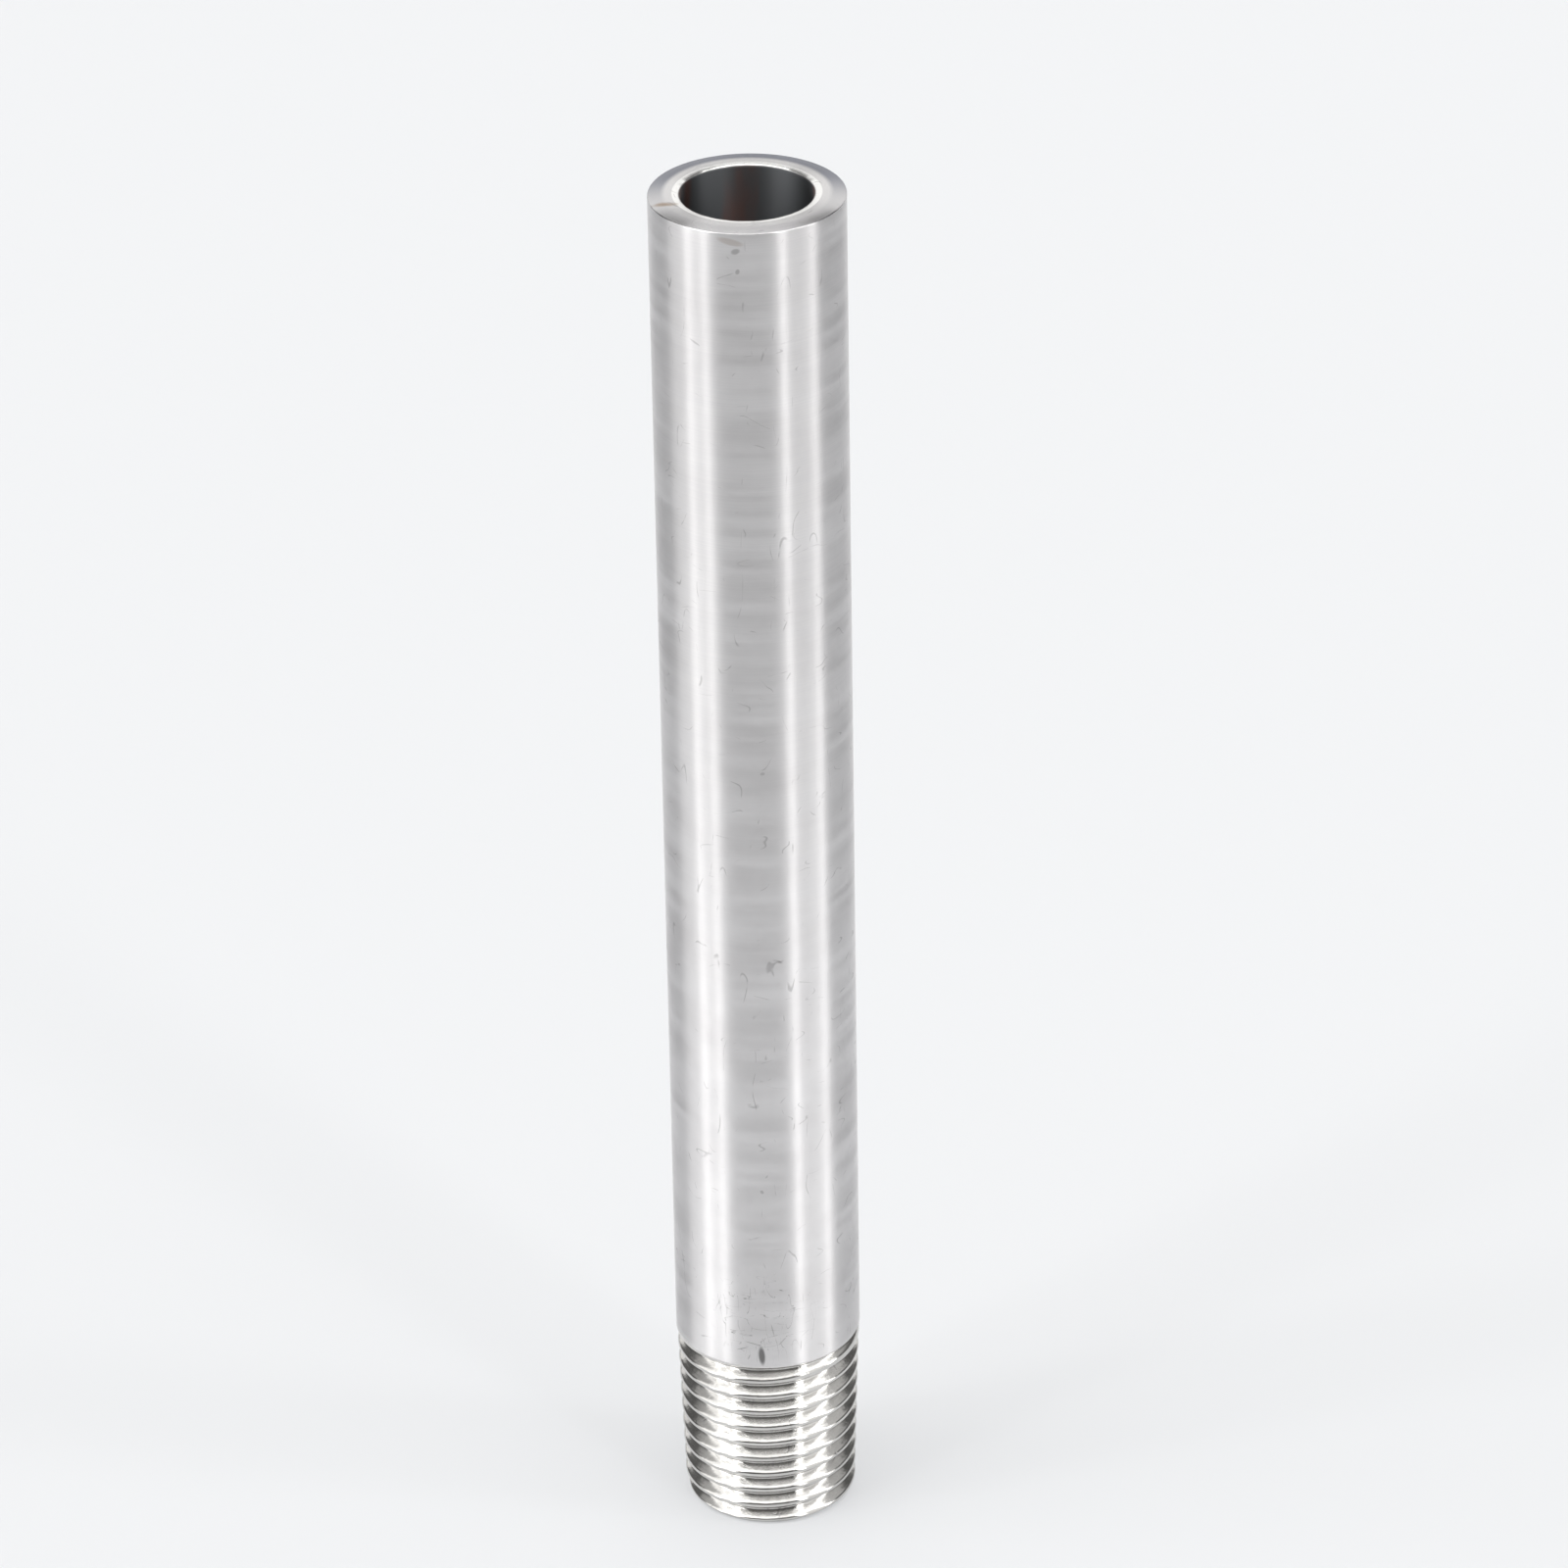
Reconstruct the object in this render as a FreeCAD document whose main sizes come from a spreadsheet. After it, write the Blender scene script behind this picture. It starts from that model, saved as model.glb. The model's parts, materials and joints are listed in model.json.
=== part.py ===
"""Pipe nipple threaded at one end, all sizes in millimetres.

The nipple is a single length of stainless steel pipe.  Its foot is turned to a taper and cut with a
right-hand taper pipe thread; its top is plain, faced square, with its edges broken.
The origin is the centre of the foot's end face, and +Z runs along the pipe to the plain end.
"""
import FreeCAD, Part
import os
import Sketcher

NODE = "pipe_nipple"

# Driving sizes: name, value, and what it measures.
DRIVING = [
    ("overall_length", 106.0, "end face to end face"),
    ("pipe_diameter", 13.72, "outside of the pipe"),
    ("bore_diameter", 9.24, "inside of the pipe"),
    ("bore_break", 0.18, "45 degree chamfer on the bore's edge at both ends"),
    ("rim_width", 0.17, "broken outer edge of the plain end, across"),
    ("rim_height", 0.34, "broken outer edge of the plain end, along"),
    ("foot_chamfer_width", 0.3, "lead-in at the foot, across"),
    ("foot_chamfer_height", 0.35, "lead-in at the foot, along"),
    ("thread_pitch", 1.4111, "along, from one groove to the next: 18 to the inch"),
    ("thread_taper", 0.0625, "growth of the diameter for each millimetre along"),
    ("first_groove", 0.96, "foot to the middle of the lowest groove, on the -Y side"),
    ("full_turns", 9.0, "turns of full groove above that"),
    ("runout_turns", 0.5, "further turns in which the cutter leaves the pipe"),
    ("shoulder_step", 0.05, "from the turned taper out to the pipe's skin"),
    ("groove_depth", 0.88, "from the turned taper in to the bottom of the groove"),
    ("root_flat", 0.06, "flat at the bottom of the groove"),
    ("flank_angle", 60.0, "between the two sides of the groove, in degrees"),
    ("tool_clearance", 0.06, "how far a cutting shape stands past the metal that it cuts"),
    ("lead_in_turns", 2.0, "turns that the cutter makes below the lowest groove, in the air"),
    ("path_step", 0.25, "turns in one stretch of the cutter's path"),
]

# Sizes that follow from the driving ones: name, formula, and what it measures.
DERIVED = [
    ("pipe_radius", "pipe_diameter / 2", "skin of the pipe"),
    ("bore_radius", "bore_diameter / 2", "wall of the bore"),
    ("bore_mouth", "bore_radius + bore_break", "bore's edge on either end face"),
    ("taper_slope", "thread_taper / 2", "growth of the radius for each millimetre along"),
    ("cut_start", "first_groove - lead_in_turns * thread_pitch", "where the cutter sets off"),
    ("full_end", "first_groove + full_turns * thread_pitch", "where the full groove stops"),
    ("shoulder_height", "full_end + runout_turns / 2 * thread_pitch", "top of the turned taper"),
    ("shoulder_radius", "pipe_radius - shoulder_step", "turned taper at the shoulder"),
    ("foot_radius", "shoulder_radius - shoulder_height * taper_slope", "turned taper at the foot"),
    ("lead_in_radius", "foot_radius + foot_chamfer_height * taper_slope", "top of the lead-in"),
    ("cut_start_root", "foot_radius + cut_start * taper_slope - groove_depth", "groove's bottom"),
    ("full_end_root", "foot_radius + full_end * taper_slope - groove_depth", "groove's bottom"),
    ("cutter_reach", "groove_depth + tool_clearance", "cutter's sloping sides, across"),
    ("half_root", "root_flat / 2", "half of the cutter's tip"),
    ("half_mouth", "half_root + cutter_reach * tan(flank_angle / 2 * 1deg)", "half of its width"),
    ("cutter_back", "pipe_radius + cutter_reach", "cutter's outer side"),
    ("runout_slope", "(cutter_reach + shoulder_step) / (runout_turns * thread_pitch)", "lift"),
]

document = FreeCAD.newDocument("nipple")
sizes = document.addObject("Spreadsheet::Sheet", "sizes")
rows = [(alias, repr(value), note) for alias, value, note in DRIVING]
rows += [(alias, "=" + formula, note) for alias, formula, note in DERIVED]
for number, (alias, content, note) in enumerate(rows, start=1):
    sizes.set("A%d" % number, alias)
    sizes.set("B%d" % number, content)
    sizes.set("C%d" % number, note)
    sizes.setAlias("B%d" % number, alias)
document.recompute()


def origin_plane(body, role):
    """The body's own origin plane that has this role."""
    return next(item for item in body.Origin.OriginFeatures if item.Role == role)


def outline(body, name, role, corners):
    """A closed sketch of straight lines, with each corner held by an across and an along formula."""
    sketch = body.newObject("Sketcher::SketchObject", name)
    sketch.AttachmentSupport = [(origin_plane(body, role), "")]
    sketch.MapMode = "FlatFace"
    places = [
        FreeCAD.Vector(sketch.evalExpression(across), sketch.evalExpression(along), 0)
        for across, along in corners
    ]
    following = places[1:] + places[:1]
    for start, end in zip(places, following):
        sketch.addGeometry(Part.LineSegment(start, end), False)
    for line in range(len(corners)):
        next_line = (line + 1) % len(corners)
        sketch.addConstraint(Sketcher.Constraint("Coincident", line, 2, next_line, 1))
    for line, (across, along) in enumerate(corners):
        for kind, value, formula in (
            ("DistanceX", places[line].x, across),
            ("DistanceY", places[line].y, along),
        ):
            number = sketch.addConstraint(Sketcher.Constraint(kind, -1, 1, line, 1, value))
            sketch.setExpression("Constraints[%d]" % number, formula)
    return sketch


def turned_blank(body):
    """The turned pipe: bore, end faces, broken edges, shoulder and the taper for the thread."""
    section = outline(body, "blank_section", "XZ_Plane", [
        ("sizes.bore_mouth", "0"),
        ("sizes.foot_radius - sizes.foot_chamfer_width", "0"),
        ("sizes.lead_in_radius", "sizes.foot_chamfer_height"),
        ("sizes.shoulder_radius", "sizes.shoulder_height"),
        ("sizes.pipe_radius", "sizes.shoulder_height + sizes.shoulder_step"),
        ("sizes.pipe_radius", "sizes.overall_length - sizes.rim_height"),
        ("sizes.pipe_radius - sizes.rim_width", "sizes.overall_length"),
        ("sizes.bore_mouth", "sizes.overall_length"),
        ("sizes.bore_radius", "sizes.overall_length - sizes.bore_break"),
        ("sizes.bore_radius", "sizes.bore_break"),
    ])
    blank = body.newObject("PartDesign::Revolution", "blank")
    blank.Profile = section
    blank.ReferenceAxis = (section, ["V_Axis"])
    blank.Angle = 360
    document.recompute()
    return blank


def cut_groove(body, name, height, root, turns, slope):
    """Cut a stretch of the thread's groove.

    The stretch starts on the -Y side, at this height and with its bottom at this radius, and climbs
    for this many turns while its radius grows by this slope.
    """
    path = document.addObject("Part::Helix", name + "_path")
    path.Placement.Rotation = FreeCAD.Rotation(FreeCAD.Vector(0, 0, 1), -90)
    path.setExpression("Placement.Base.z", height + " * 1mm")
    path.setExpression("Radius", root + " * 1mm")
    path.setExpression("Pitch", "sizes.thread_pitch * 1mm")
    path.setExpression("Height", turns + " * sizes.thread_pitch * 1mm")
    path.setExpression("Angle", "atan(%s)" % slope)
    path.setExpression("SegmentLength", "sizes.path_step")
    section = outline(body, name + "_section", "YZ_Plane", [
        ("-" + root, height + " - sizes.half_root"),
        ("-%s - sizes.cutter_reach" % root, height + " - sizes.half_mouth"),
        ("-sizes.cutter_back", height + " - sizes.half_mouth"),
        ("-sizes.cutter_back", height + " + sizes.half_mouth"),
        ("-%s - sizes.cutter_reach" % root, height + " + sizes.half_mouth"),
        ("-" + root, height + " + sizes.half_root"),
    ])
    document.recompute()
    groove = body.newObject("PartDesign::SubtractivePipe", name)
    groove.Profile = section
    groove.Spine = (path, ["Edge%d" % (edge + 1) for edge in range(len(path.Shape.Edges))])
    # The feature works in the frame of the blank's section, where the pipe's axis is Y.
    groove.Mode = "Binormal"
    groove.Binormal = FreeCAD.Vector(0, 1, 0)
    document.recompute()
    return groove


nipple = document.addObject("PartDesign::Body", "nipple_body")
nipple.Label = NODE
nipple.Placement = FreeCAD.Placement()

blank = turned_blank(nipple)
thread = cut_groove(
    nipple, "full_groove", "sizes.cut_start", "sizes.cut_start_root",
    "(sizes.lead_in_turns + sizes.full_turns)", "sizes.taper_slope",
)
runout = cut_groove(
    nipple, "runout_groove", "sizes.full_end", "sizes.full_end_root",
    "sizes.runout_turns", "sizes.runout_slope",
)

for item in document.Objects:
    if "Invalid" in item.State or "Error" in item.State:
        raise RuntimeError("%s failed: %s" % (item.Name, item.State))
for before, after in ((blank, thread), (thread, runout)):
    print(after.Name, "takes off %.3f cubic millimetres" % (before.Shape.Volume - after.Shape.Volume))
    if not after.Shape.Volume < before.Shape.Volume:
        raise RuntimeError("%s cuts nothing" % after.Name)
if nipple.Shape.isNull() or not nipple.Shape.isValid() or len(nipple.Shape.Solids) != 1:
    raise RuntimeError("%s is not one valid solid" % NODE)

os.makedirs("parts", exist_ok=True)
nipple.Shape.exportStep("parts/%s.step" % NODE)
print("%s: %.2f cubic millimetres, %d faces" % (NODE, nipple.Shape.Volume, len(nipple.Shape.Faces)))
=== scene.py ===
"""The look of the threaded pipe nipple: a turned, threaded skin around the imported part.

Lengths are named in millimetres, and MM turns them to metres where a mesh, a material or the camera is made.
The scales of the noises in the materials are per metre.
"""
import json
import math

import bpy
import numpy as np
from mathutils import Matrix, Vector


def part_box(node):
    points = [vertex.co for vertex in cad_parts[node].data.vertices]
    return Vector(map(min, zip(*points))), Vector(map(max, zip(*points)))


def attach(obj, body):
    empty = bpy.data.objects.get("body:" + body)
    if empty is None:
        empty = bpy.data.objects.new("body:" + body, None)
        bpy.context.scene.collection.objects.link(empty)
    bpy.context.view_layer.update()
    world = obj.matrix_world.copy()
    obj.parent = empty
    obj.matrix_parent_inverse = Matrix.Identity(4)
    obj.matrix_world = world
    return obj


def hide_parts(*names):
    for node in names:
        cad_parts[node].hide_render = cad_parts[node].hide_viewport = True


MM = 0.001

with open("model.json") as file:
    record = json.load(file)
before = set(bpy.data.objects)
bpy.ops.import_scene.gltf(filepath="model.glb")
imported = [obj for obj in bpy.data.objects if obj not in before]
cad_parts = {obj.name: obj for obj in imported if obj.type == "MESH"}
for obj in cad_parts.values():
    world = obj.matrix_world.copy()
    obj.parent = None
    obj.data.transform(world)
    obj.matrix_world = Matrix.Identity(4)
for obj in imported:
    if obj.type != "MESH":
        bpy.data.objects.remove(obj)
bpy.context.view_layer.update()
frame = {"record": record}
record = frame["record"]
scene = bpy.context.scene

# ---------------------------------------------------------------- sizes from the frame
NODE = "pipe_nipple"
low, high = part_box(NODE)
mounts = {mount["name"]: mount for mount in record["mounts"]}
LENGTH = high[2] / MM
PIPE_RADIUS = (high[0] - low[0]) / 2 / MM
BORE_RADIUS = mounts["bore"]["dims"]["r_mm"]
SHOULDER = mounts["male_thread"]["dims"]["length_mm"]

# ---------------------------------------------------------------- the thread and the broken edges
PITCH = 25.4 / 18
TAPER_SLOPE = 1 / 32
SHOULDER_STEP = 0.05
SHOULDER_LEAD = 0.1
SHOULDER_RISE = 0.3
FOOT_RADIUS = PIPE_RADIUS - SHOULDER_STEP - SHOULDER * TAPER_SLOPE
GROOVE_DEPTH = 0.88
ROOT_FLAT = 0.06
ROOT_ROUND = 0.85
CREST_ROUND = 0.22
FLANK_SLOPE = math.tan(math.radians(30))
FIRST_GROOVE = 0.96
FULL_TURNS = 9.0
RUNOUT_TURNS = 0.5
RUNOUT_LIMIT = 1.6
RUNOUT_CLEAR = 0.1
FOOT_CHAMFER = (0.30, 0.35)
FOOT_ROUND = 0.05
RIM_CROWN = (0.12, 0.10)
OUTER_RING = (0.90, 0.09)
BORE_BREAK = 0.18
LIP_CROWN = (0.55, 0.20)

# ---------------------------------------------------------------- how fine the mesh is
COLUMNS = 240
ROWS_PER_PITCH = 22
TUBE_ROW = 1.0
ROUND_ROWS = 9
BORE_ROWS = 12
GOUGE_ROW = 0.1
PAST_THREAD = 1.0
FINE_PAST_SHOULDER = 0.7
GOUGE_REACH = 2

AZIMUTHS = np.linspace(0, 2 * math.pi, COLUMNS, endpoint=False)
FRONT = -math.pi / 2


def ripple(seed, waves, size):
    """A smooth closed curve round the pipe: random sums of sines, at most about this size."""
    draw = np.random.default_rng(seed)
    total = np.zeros(COLUMNS)
    for wave in waves:
        total += draw.uniform(-1, 1) * np.sin(wave * AZIMUTHS + draw.uniform(0, 2 * math.pi))
    return size * total / math.sqrt(len(waves))


def soft_min(first, second, blend):
    """The smaller of two radii, with the corner between them rounded over this blend."""
    mix = np.clip(0.5 + 0.5 * (second - first) / blend, 0, 1)
    return second * (1 - mix) + first * mix - blend * mix * (1 - mix)


def soft_max(first, second, blend):
    """The larger of two radii, with the corner rounded the same way."""
    return -soft_min(-first, -second, blend)


CREST_WEAR = ripple(3, range(5, 40), 0.006)
GOUGE_DEGREES = -4
GOUGE_AZIMUTH = FRONT + math.radians(GOUGE_DEGREES)
GOUGE_HEIGHT = 15.35
GOUGE_SIZE = (0.16, 0.62)
GOUGE_DEPTH = 0.07


def skin_radius(height):
    """Radius of the outer skin all the way round at this height."""
    turned = np.full(COLUMNS, FOOT_RADIUS + height * TAPER_SLOPE)
    rise = np.clip((height - SHOULDER + SHOULDER_LEAD) / SHOULDER_RISE, 0, 1)
    rise = rise * rise * (3 - 2 * rise)
    skin = turned * (1 - rise) + PIPE_RADIUS * rise
    width, tall = FOOT_CHAMFER
    skin = soft_min(skin, FOOT_RADIUS - width + height * width / tall + 0 * skin, FOOT_ROUND)
    if height < SHOULDER + PAST_THREAD:
        skin = skin + CREST_WEAR * (1 - rise)
        around = ((AZIMUTHS - FRONT) / (2 * math.pi)) % 1.0
        nearest = np.floor((height - FIRST_GROOVE) / PITCH - around + 0.5)
        for turn in (nearest - 1, nearest, nearest + 1):
            turns = turn + around
            middle = FIRST_GROOVE + turns * PITCH
            lift = np.clip((turns - FULL_TURNS) / RUNOUT_TURNS, 0, RUNOUT_LIMIT)
            root = FOOT_RADIUS + middle * TAPER_SLOPE - GROOVE_DEPTH + lift * (GROOVE_DEPTH + RUNOUT_CLEAR)
            beside = np.abs(height - middle) - ROOT_FLAT / 2
            groove = root + soft_max(beside / FLANK_SLOPE, 0 * beside, ROOT_ROUND)
            skin = soft_min(skin, groove, CREST_ROUND)
    across = (AZIMUTHS - GOUGE_AZIMUTH + math.pi) % (2 * math.pi) - math.pi
    across = across * PIPE_RADIUS / GOUGE_SIZE[0]
    along = (height - GOUGE_HEIGHT) / GOUGE_SIZE[1]
    skin = skin - GOUGE_DEPTH * np.exp(-across * across - along * along)
    return np.minimum(skin, PIPE_RADIUS)


def nipple_rings():
    """Rings of (radius, height) round the whole closed skin: outside, top face, bore, foot face."""
    rings = []
    fine = PITCH / ROWS_PER_PITCH
    heights = list(np.arange(0, SHOULDER + FINE_PAST_SHOULDER, fine))
    heights += list(np.arange(heights[-1] + GOUGE_ROW, GOUGE_HEIGHT + GOUGE_REACH, GOUGE_ROW))
    width, tall = RIM_CROWN
    ring_width, drop = OUTER_RING
    straight_top = LENGTH - drop - tall
    rows = int((straight_top - heights[-1]) / TUBE_ROW)
    heights += list(np.linspace(heights[-1], straight_top, rows)[1:])
    for height in heights:
        rings.append((skin_radius(height), np.full(COLUMNS, height)))
    rim_wear = 1 + ripple(7, range(2, 30), 0.12)
    for step in range(1, ROUND_ROWS + 1):
        angle = math.pi / 2 * step / ROUND_ROWS
        radius = PIPE_RADIUS - width * rim_wear * (1 - math.cos(angle))
        rings.append((radius, np.full(COLUMNS, LENGTH - drop - tall + tall * math.sin(angle))))
    outer_edge = rings[-1][0]
    for step in range(1, ROUND_ROWS + 1):
        share = step / ROUND_ROWS
        rings.append((outer_edge - ring_width * share, np.full(COLUMNS, LENGTH - drop * (1 - share) ** 2)))
    outer_edge = rings[-1][0]
    lip_wear = 1 + ripple(11, range(3, 36), 0.15)
    lip_width, lip_tall = LIP_CROWN
    mouth = BORE_RADIUS + lip_width * lip_wear
    for share in (0.04, 0.3, 0.6, 0.96):
        rings.append((outer_edge * (1 - share) + mouth * share, np.full(COLUMNS, LENGTH)))
    for step in range(0, ROUND_ROWS + 1):
        angle = math.pi / 2 * step / ROUND_ROWS
        radius = mouth - (mouth - BORE_RADIUS) * math.sin(angle)
        rings.append((radius, np.full(COLUMNS, LENGTH - lip_tall * (1 - math.cos(angle)))))
    for height in np.linspace(LENGTH - lip_tall, BORE_BREAK, BORE_ROWS)[1:-1]:
        rings.append((np.full(COLUMNS, BORE_RADIUS), np.full(COLUMNS, height)))
    for step in range(0, ROUND_ROWS + 1):
        angle = math.pi / 2 * (1 - step / ROUND_ROWS)
        radius = BORE_RADIUS + BORE_BREAK * (1 - math.sin(angle))
        rings.append((np.full(COLUMNS, radius), np.full(COLUMNS, BORE_BREAK * (1 - math.cos(angle)))))
    inner_edge = rings[-1][0]
    foot_edge = skin_radius(0.0)
    for share in (0.05, 0.35, 0.65, 0.95):
        rings.append((inner_edge * (1 - share) + foot_edge * share, np.zeros(COLUMNS)))
    return rings


def ring_mesh(name, rings):
    """A closed mesh from rings that each join the next, and the last the first."""
    count = len(rings)
    places = np.zeros((count, COLUMNS, 3))
    for index, (radius, height) in enumerate(rings):
        places[index, :, 0] = radius * np.cos(AZIMUTHS)
        places[index, :, 1] = radius * np.sin(AZIMUTHS)
        places[index, :, 2] = height
    rows, columns = np.meshgrid(np.arange(count), np.arange(COLUMNS), indexing="ij")
    next_row = (rows + 1) % count
    next_column = (columns + 1) % COLUMNS
    faces = np.stack([
        rows * COLUMNS + columns,
        rows * COLUMNS + next_column,
        next_row * COLUMNS + next_column,
        next_row * COLUMNS + columns,
    ], axis=-1).reshape(-1, 4)
    mesh = bpy.data.meshes.new(name)
    mesh.from_pydata((places * MM).reshape(-1, 3), [], faces.tolist())
    mesh.validate()
    mesh.shade_smooth()
    piece = bpy.data.objects.new(name, mesh)
    scene.collection.objects.link(piece)
    return piece


# ---------------------------------------------------------------- materials
class Nodes:
    """Short ways to add nodes to a tree and to join them."""

    def __init__(self, tree):
        self.tree = tree

    def add(self, kind, inputs=None, **settings):
        node = self.tree.nodes.new(kind)
        for key, value in settings.items():
            setattr(node, key, value)
        for key, value in (inputs or {}).items():
            self.feed(node.inputs[key], value)
        return node

    def feed(self, socket, value):
        if isinstance(value, bpy.types.NodeSocket):
            self.tree.links.new(value, socket)
        else:
            socket.default_value = value

    def math(self, operation, *values):
        node = self.add("ShaderNodeMath", operation=operation)
        for index, value in enumerate(values):
            self.feed(node.inputs[index], value)
        return node.outputs[0]

    def ramp(self, value, low, high, to_low=0.0, to_high=1.0):
        node = self.add("ShaderNodeMapRange", {
            "Value": value, "From Min": low, "From Max": high, "To Min": to_low, "To Max": to_high,
        }, interpolation_type="SMOOTHSTEP")
        return node.outputs["Result"]

    def mix(self, factor, first, second):
        node = self.add("ShaderNodeMix", data_type="RGBA")
        self.feed(node.inputs["Factor"], factor)
        self.feed(node.inputs["A"], first)
        self.feed(node.inputs["B"], second)
        return node.outputs["Result"]

    def noise(self, vector, scale, detail=2.0, roughness=0.5):
        node = self.add("ShaderNodeTexNoise", {
            "Vector": vector, "Scale": scale, "Detail": detail, "Roughness": roughness,
        })
        return node.outputs["Fac"]

    def stretched(self, vector, scale):
        node = self.add("ShaderNodeVectorMath", {0: vector, 1: scale}, operation="MULTIPLY")
        return node.outputs["Vector"]


def new_material(name):
    """A material with its node helper and its shader."""
    material = bpy.data.materials.new(name)
    material.use_nodes = True
    return material, Nodes(material.node_tree), material.node_tree.nodes["Principled BSDF"]


def axis_parts(n, vector):
    """The three parts of a vector."""
    node = n.add("ShaderNodeSeparateXYZ", {"Vector": vector})
    return [node.outputs[index] for index in range(3)]


def blend(n, factor, first, second):
    """A number between two others."""
    node = n.add("ShaderNodeMix", {0: factor, 2: first, 3: second}, data_type="FLOAT")
    return node.outputs[0]


def mark(n, across, back, height, azimuth, up_at, wide, tall, tilt, strength):
    """The strength inside a small soft mark on the pipe's outside, and 0 away from it.

    The azimuth, from the front, and the tilt are in degrees, and the sizes are in millimetres.
    """
    turn = FRONT + math.radians(azimuth)
    sine = n.math("MULTIPLY", across, -math.sin(turn) / MM)
    beside = n.math("ADD", sine, n.math("MULTIPLY", back, math.cos(turn) / MM))
    outward = n.math("MULTIPLY", across, math.cos(turn))
    outward = n.math("ADD", outward, n.math("MULTIPLY", back, math.sin(turn)))
    above = n.math("SUBTRACT", n.math("DIVIDE", height, MM), up_at)
    lean = math.radians(tilt)
    first = n.math("MULTIPLY", beside, math.cos(lean))
    first = n.math("ADD", first, n.math("MULTIPLY", above, math.sin(lean)))
    second = n.math("MULTIPLY", above, math.cos(lean))
    second = n.math("SUBTRACT", second, n.math("MULTIPLY", beside, math.sin(lean)))
    first = n.math("POWER", n.math("DIVIDE", first, wide / 2), 2.0)
    second = n.math("POWER", n.math("DIVIDE", second, tall / 2), 2.0)
    distance = n.math("ADD", first, second)
    patch = n.ramp(distance, 0.3, 1.4, strength, 0.0)
    return n.math("MULTIPLY", patch, n.math("GREATER_THAN", outward, BORE_RADIUS * MM * 1.1))


def stain_patch(n, place):
    """A small ochre stain on the plain end's face, on the left."""
    middle = (-5.6 * MM, -1.9 * MM, LENGTH * MM)
    node = n.add("ShaderNodeVectorMath", {0: place, 1: middle}, operation="SUBTRACT")
    size = n.stretched(node.outputs["Vector"], (1 / (1.2 * MM), 1 / (0.45 * MM), 1 / (2 * MM)))
    length = n.add("ShaderNodeVectorMath", {0: size}, operation="LENGTH").outputs["Value"]
    cloud = n.noise(place, 900.0, 3.0, 0.6)
    return n.ramp(n.math("ADD", length, n.math("MULTIPLY", cloud, 0.9)), 0.6, 1.5, 0.75, 0.0)


def scratch_lines(n, place, scale, seed, patch_scale, start=0.56):
    """Thin, short, wandering scratches where a noise crosses its middle, kept only in some patches."""
    spread = n.stretched(place, scale)
    shifted = n.add("ShaderNodeVectorMath", {0: spread, 1: (seed, seed, seed)}, operation="ADD")
    wander = n.noise(shifted.outputs["Vector"], 1.0, 1.0, 0.4)
    line = n.ramp(n.math("ABSOLUTE", n.math("SUBTRACT", wander, 0.5)), 0.002, 0.008, 1.0, 0.0)
    patches = n.noise(place, patch_scale, 2.0, 0.5)
    return n.math("MULTIPLY", line, n.ramp(patches, start, start + 0.1))


GREY_MARK = (0.30, 0.29, 0.29, 1)
DARK_MARK = (0.16, 0.155, 0.155, 1)
RUST_MARK = (0.38, 0.30, 0.24, 1)
# Small marks on the pipe: name, azimuth from the front, height, width, length, lean, strength, colour.
MARKS = [
    ("gouge", GOUGE_DEGREES, GOUGE_HEIGHT, 0.50, 1.6, 4, 0.85, DARK_MARK),
    ("gouge_left", -16, 15.9, 1.0, 0.10, 22, 0.5, GREY_MARK),
    ("gouge_cross", -9, 16.4, 1.3, 0.09, -14, 0.5, GREY_MARK),
    ("gouge_right", 9, 16.6, 0.9, 0.09, 48, 0.45, GREY_MARK),
    ("gouge_low", -12, 15.2, 0.5, 0.10, 70, 0.45, GREY_MARK),
    ("gouge_high", 3, 17.6, 0.10, 1.1, 12, 0.4, GREY_MARK),
    ("upper_pit", -7, 104.6, 0.65, 0.42, 20, 0.6, GREY_MARK),
    ("lower_pit", -6, 103.1, 0.30, 0.42, -20, 0.55, GREY_MARK),
    ("rim_smudge", -10, 105.3, 1.9, 0.5, -12, 0.35, RUST_MARK),
    ("left_nick", -33, 97.4, 0.9, 0.16, -24, 0.4, GREY_MARK),
    ("middle_nick", 3, 64.3, 0.35, 0.25, 10, 0.35, GREY_MARK),
    ("tick", -2, 29.6, 0.25, 0.35, 35, 0.4, GREY_MARK),
]


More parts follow.
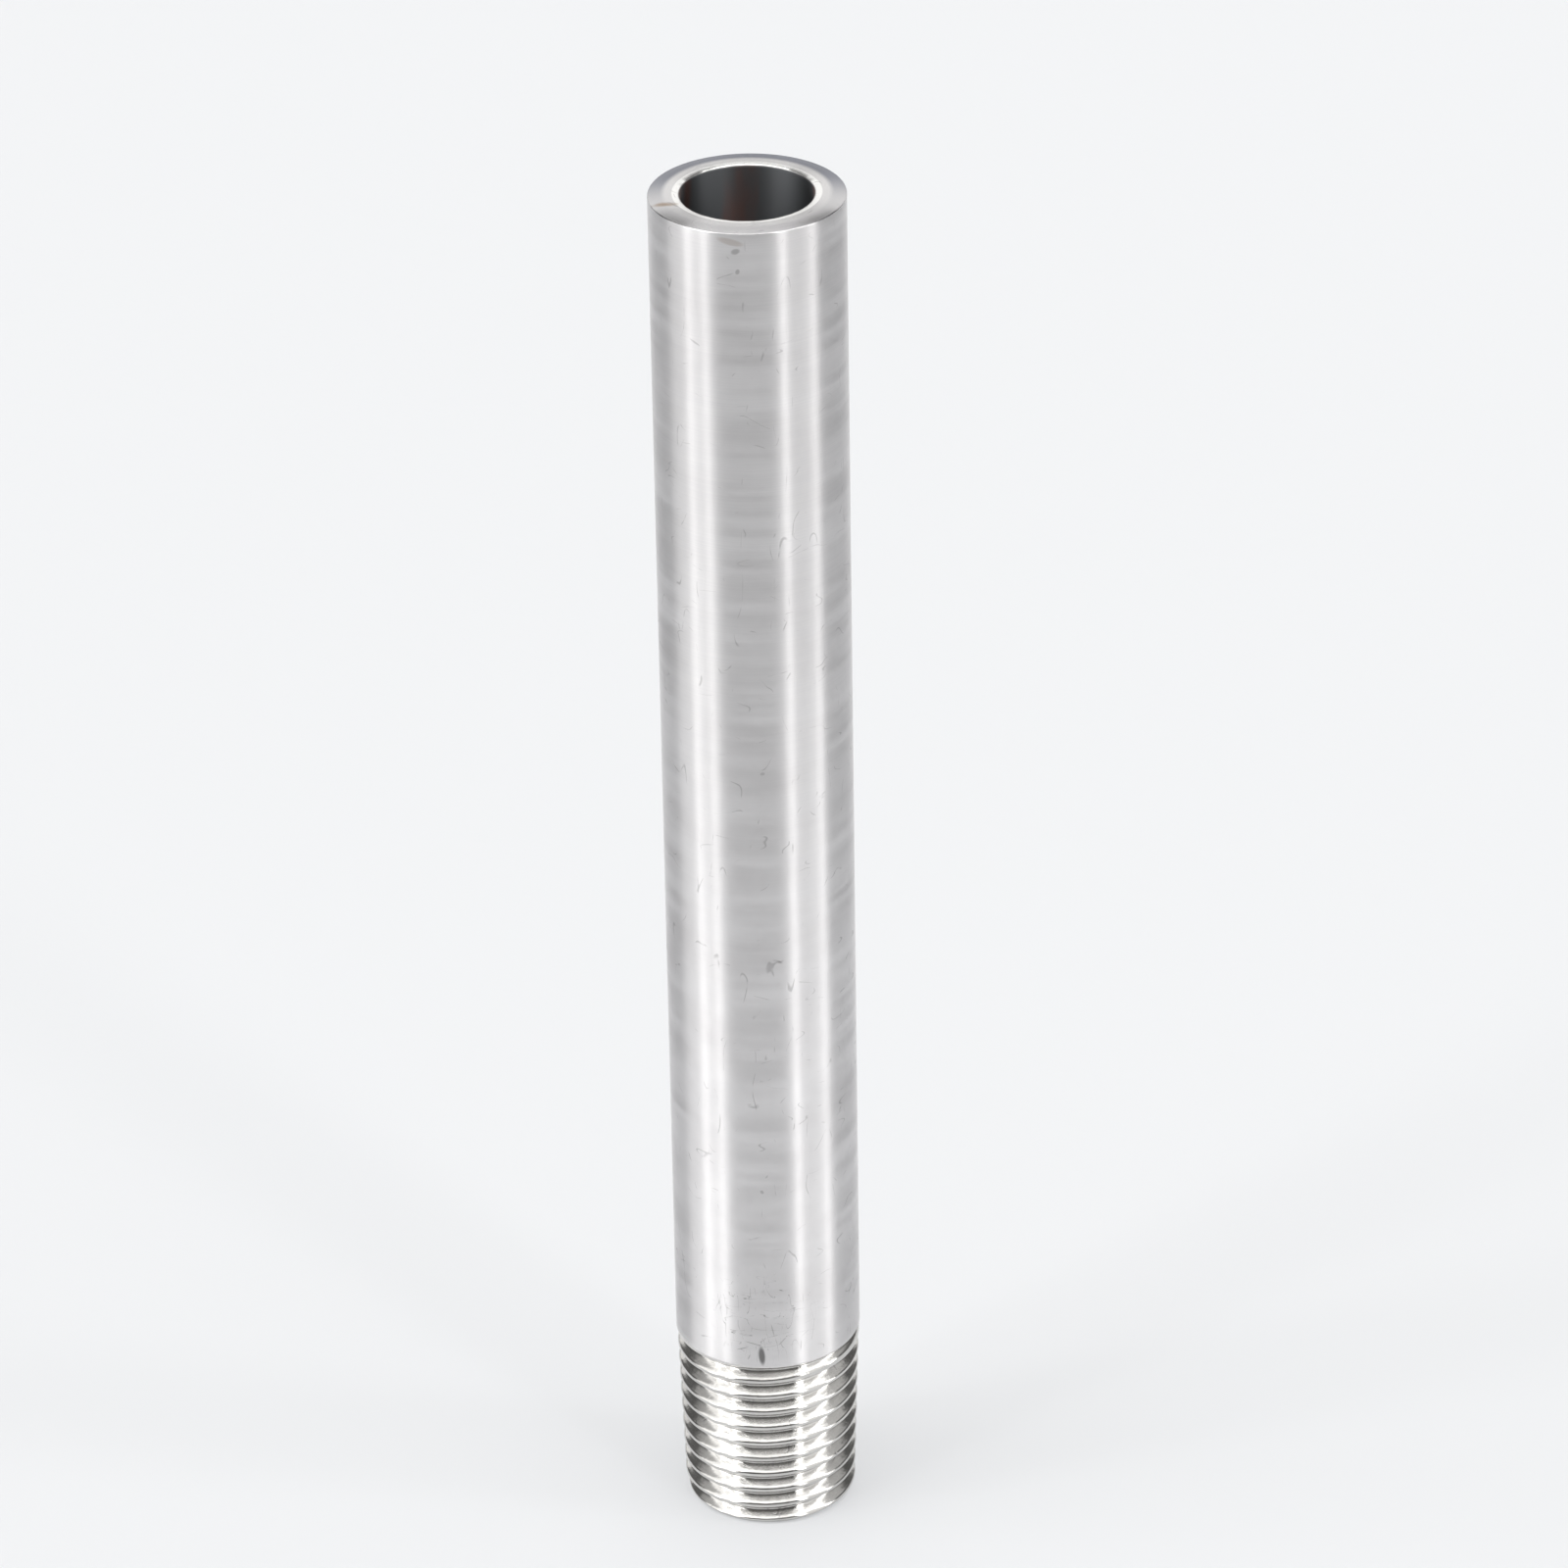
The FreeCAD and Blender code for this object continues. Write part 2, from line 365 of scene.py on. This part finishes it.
def stainless():
    """Turned and brushed stainless steel: fine lines round the pipe, scratches, pits and stains, with
    painted shade in the bore, a painted dark reflection on the end face's outer ring and a painted highlight
    round the bore's lip.
    """
    material, n, shader = new_material("stainless_steel")
    place = n.add("ShaderNodeTexCoord").outputs["Object"]
    across, back, height = axis_parts(n, place)
    radius = n.math("SQRT", n.math("ADD", n.math("POWER", across, 2.0), n.math("POWER", back, 2.0)))
    lines = n.noise(n.stretched(place, (130, 130, 11000)), 1.0, 4.0, 0.65)
    broad = n.noise(n.stretched(place, (60, 60, 900)), 1.0, 3.0, 0.6)
    cloud = n.noise(place, 160.0, 4.0, 0.6)
    waves = n.noise(n.stretched(place, (170, 170, 230)), 1.0, 2.0, 0.5)
    threaded = n.ramp(height, (SHOULDER + 0.2) * MM, (SHOULDER + 0.5) * MM, 1.0, 0.0)
    inside = n.ramp(radius, (BORE_RADIUS + 0.02) * MM, (BORE_RADIUS + 0.16) * MM, 1.0, 0.0)
    face = n.ramp(height, (LENGTH - 0.3) * MM, (LENGTH - 0.1) * MM)

    colour = n.mix(n.ramp(lines, 0.3, 0.7), (0.70, 0.69, 0.695, 1), (0.73, 0.72, 0.72, 1))
    towards_foot = n.ramp(height, 0.20 * LENGTH * MM, 0.85 * LENGTH * MM, 1.0, 0.0)
    colour = n.mix(towards_foot, colour, (0.83, 0.82, 0.825, 1))
    colour = n.mix(n.ramp(cloud, 0.35, 0.75, 0.0, 0.3), colour, (0.57, 0.55, 0.555, 1))
    thread_colour = n.mix(n.ramp(cloud, 0.4, 0.7), (0.67, 0.66, 0.64, 1), (0.57, 0.56, 0.545, 1))
    colour = n.mix(threaded, colour, thread_colour)
    # Painted shade: the bore's dark grey stands in for the shade in the hollow; its reddish patches are a
    # tint of the metal.
    bore_cloud = n.noise(n.stretched(place, (220, 220, 60)), 1.0, 3.0, 0.6)
    bore_colour_and_painted_shade = n.mix(n.ramp(bore_cloud, 0.42, 0.6), (0.15, 0.157, 0.165, 1), (0.22, 0.135, 0.12, 1))
    # Painted dark reflection: the outer ring of the end face turns dark blue-grey, faint at the front and
    # full at the back.
    outer = n.math("MULTIPLY", face, n.ramp(radius, (PIPE_RADIUS - 1.3) * MM, (PIPE_RADIUS - 0.8) * MM))
    painted_back_reflection = n.ramp(back, -2 * MM, 3 * MM, 0.15, 1.0)
    colour = n.mix(n.math("MULTIPLY", outer, painted_back_reflection), colour, (0.23, 0.24, 0.28, 1))
    # Painted highlight: a bright ring on the end face round the bore's lip.
    painted_lip_highlight = n.ramp(radius, (BORE_RADIUS + 0.50) * MM, (BORE_RADIUS + 0.62) * MM, 1.0, 0.0)
    colour = n.mix(n.math("MULTIPLY", face, painted_lip_highlight), colour, (0.96, 0.955, 0.94, 1))
    colour = n.mix(inside, colour, bore_colour_and_painted_shade)
    for name, azimuth, up_at, wide, tall, tilt, strength, tint in MARKS:
        patch = mark(n, across, back, height, azimuth, up_at, wide, tall, tilt, strength)
        colour = n.mix(patch, colour, tint)
    stain = n.math("MULTIPLY", stain_patch(n, place), face)
    colour = n.mix(stain, colour, (0.30, 0.20, 0.11, 1))

    steep = scratch_lines(n, place, (500, 500, 160), 0.0, 570.0)
    slanting = scratch_lines(n, place, (260, 260, 620), 7.0, 690.0)
    scratches = n.math("ADD", steep, slanting)
    worn = mark(n, across, back, height, -3, 18.6, 7.5, 7.5, 0, 1.0)
    upright = scratch_lines(n, place, (1500, 1500, 330), 3.0, 1300.0, 0.44)
    level = scratch_lines(n, place, (300, 300, 1700), 5.0, 1500.0, 0.46)
    rubbed = n.math("MULTIPLY", worn, n.math("MAXIMUM", upright, level))
    scratches = n.math("MAXIMUM", n.math("MULTIPLY", scratches, 0.5), rubbed)
    scratches = n.math("MULTIPLY", scratches, n.math("SUBTRACT", 1.0, inside))
    colour = n.mix(n.math("MULTIPLY", scratches, 0.8), colour, (0.27, 0.26, 0.26, 1))

    n.feed(shader.inputs["Metallic"], 1.0)
    n.feed(shader.inputs["Base Color"], colour)
    rough = n.ramp(broad, 0.3, 0.7, 0.35, 0.43)
    rough = blend(n, threaded, rough, n.ramp(broad, 0.3, 0.7, 0.10, 0.17))
    rough = blend(n, face, rough, n.ramp(broad, 0.3, 0.7, 0.18, 0.28))
    rough = blend(n, inside, rough, 0.75)
    n.feed(shader.inputs["Roughness"], rough)
    n.feed(shader.inputs["Anisotropic"], 1.0)
    n.feed(shader.inputs["Anisotropic Rotation"], 0.25)
    tangent = n.add("ShaderNodeTangent", direction_type="RADIAL", axis="Z").outputs["Tangent"]
    n.feed(shader.inputs["Tangent"], tangent)
    relief = n.math("ADD", n.math("MULTIPLY", lines, 0.0006 * MM), n.math("MULTIPLY", waves, 0.035 * MM))
    torn = n.noise(n.stretched(place, (900, 900, 1600)), 1.0, 3.0, 0.6)
    torn = n.math("MULTIPLY", torn, threaded)
    relief = n.math("ADD", relief, n.math("MULTIPLY", torn, 0.02 * MM))
    relief = n.math("SUBTRACT", relief, n.math("MULTIPLY", scratches, 0.006 * MM))
    bump = n.add("ShaderNodeBump", {"Height": relief, "Distance": 1.0, "Strength": 1.0})
    n.feed(shader.inputs["Normal"], bump.outputs["Normal"])
    return material


def floor_material():
    """A pale matt floor with a little light of its own, which keeps the contact shadow soft."""
    material, n, shader = new_material("pale_floor")
    place = n.add("ShaderNodeTexCoord").outputs["Object"]
    cloud = n.noise(place, 3.0, 2.0, 0.5)
    n.feed(shader.inputs["Base Color"], n.mix(cloud, (0.412, 0.418, 0.424, 1), (0.420, 0.425, 0.432, 1)))
    n.feed(shader.inputs["Roughness"], 0.9)
    n.feed(shader.inputs["Specular IOR Level"], 0.1)
    n.feed(shader.inputs["Emission Color"], (0.99, 1.003, 1.03, 1))
    n.feed(shader.inputs["Emission Strength"], 0.36)
    return material


nipple = ring_mesh("nipple_skin", nipple_rings())
nipple.data.materials.append(stainless())
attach(nipple, "root")
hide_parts(NODE)

# ---------------------------------------------------------------- floor, light and camera
FLOOR_REACH = 3000
FLOOR_GAP = 0.02
mesh = bpy.data.meshes.new("floor")
corners = [(-1, -1, 0), (1, -1, 0), (1, 1, 0), (-1, 1, 0)]
mesh.from_pydata([Vector(corner) * FLOOR_REACH * MM for corner in corners], [], [(0, 1, 2, 3)])
floor = bpy.data.objects.new("floor", mesh)
floor.location.z = -FLOOR_GAP * MM
scene.collection.objects.link(floor)
mesh.materials.append(floor_material())


world = bpy.data.worlds.new("studio")
scene.world = world
world.use_nodes = True
w = Nodes(world.node_tree)
direction = w.add("ShaderNodeTexCoord").outputs["Generated"]
ACROSS, BACK, UP = axis_parts(w, direction)
DEGREES = 180 / math.pi
elevation = w.math("MULTIPLY", w.math("ARCSINE", UP), DEGREES)
towards = w.math("MULTIPLY", BACK, -1.0)
azimuth = w.math("MULTIPLY", w.math("ARCTAN2", ACROSS, towards), DEGREES)


def band(value, start, end, soft):
    """1 between start and end, in degrees, fading out over soft on either side."""
    rising = w.ramp(value, start - soft, start + soft)
    falling = w.ramp(value, end - soft, end + soft, 1.0, 0.0)
    return w.math("MULTIPLY", rising, falling)


# Brightness of the studio by direction: (azimuths from the camera's side, elevations, softness, brightness).
ROOM = 0.13
STUDIO = [
    ("ground", (-400, 400), (-100, -1), 1, 0.75),
    ("roof", (-400, 400), (54, 100), 3, 1.8),
    ("back_sweep_left", (-400, -140), (3, 34), 3, 0.9),
    ("back_sweep_right", (140, 400), (3, 34), 3, 0.9),
    ("left_box", (-100, -44), (0, 60), 5, 1.45),
    ("left_outer_strip", (-75, -68), (0, 60), 3, 3.2),
    ("left_inner_strip", (-53, -48), (0, 60), 3, 3.0),
    ("right_box", (36, 86), (0, 60), 5, 0.9),
    ("right_inner_strip", (36, 43), (0, 60), 3, 3.6),
    ("right_outer_strip", (73, 82), (0, 60), 3, 3.0),
    ("left_high_box", (-122, -96), (28, 60), 5, 0.4),
    ("right_high_box", (84, 120), (28, 60), 5, 0.5),
    ("camera_side", (-34, 32), (-5, 8), 5, 0.45),
]
brightness = ROOM
for name, azimuths, elevations, soft, level in STUDIO:
    patch = w.math("MULTIPLY", band(azimuth, *azimuths, soft), band(elevation, *elevations, soft))
    brightness = w.math("ADD", brightness, w.math("MULTIPLY", patch, level))
background = world.node_tree.nodes["Background"]
background.inputs["Color"].default_value = (1.0, 0.995, 0.985, 1)
w.feed(background.inputs["Strength"], brightness)

scene.view_settings.view_transform = "Standard"
scene.view_settings.look = "None"

# The camera stands in front of the nipple and well above it, with a long lens.
CAMERA_PLACE = (1.862, -441.49, 301.16)
CAMERA_PITCH = math.radians(28.673)
CAMERA_ROLL = -0.016738
LENS = 161.2
camera_data = bpy.data.cameras.new("camera")
camera_data.lens = LENS
camera_data.sensor_width = 36
camera_data.clip_start = 0.01
camera_data.clip_end = 20
camera = bpy.data.objects.new("camera", camera_data)
scene.collection.objects.link(camera)
forward = Vector((0, math.cos(CAMERA_PITCH), -math.sin(CAMERA_PITCH)))
level_up = Vector((0, math.sin(CAMERA_PITCH), math.cos(CAMERA_PITCH)))
level_right = Vector((1, 0, 0))
right = level_right * math.cos(CAMERA_ROLL) + level_up * math.sin(CAMERA_ROLL)
up = level_up * math.cos(CAMERA_ROLL) - level_right * math.sin(CAMERA_ROLL)
axes = Matrix((right, up, -forward)).transposed()
camera.matrix_world = Matrix.Translation(Vector(CAMERA_PLACE) * MM) @ axes.to_4x4()
scene.camera = camera
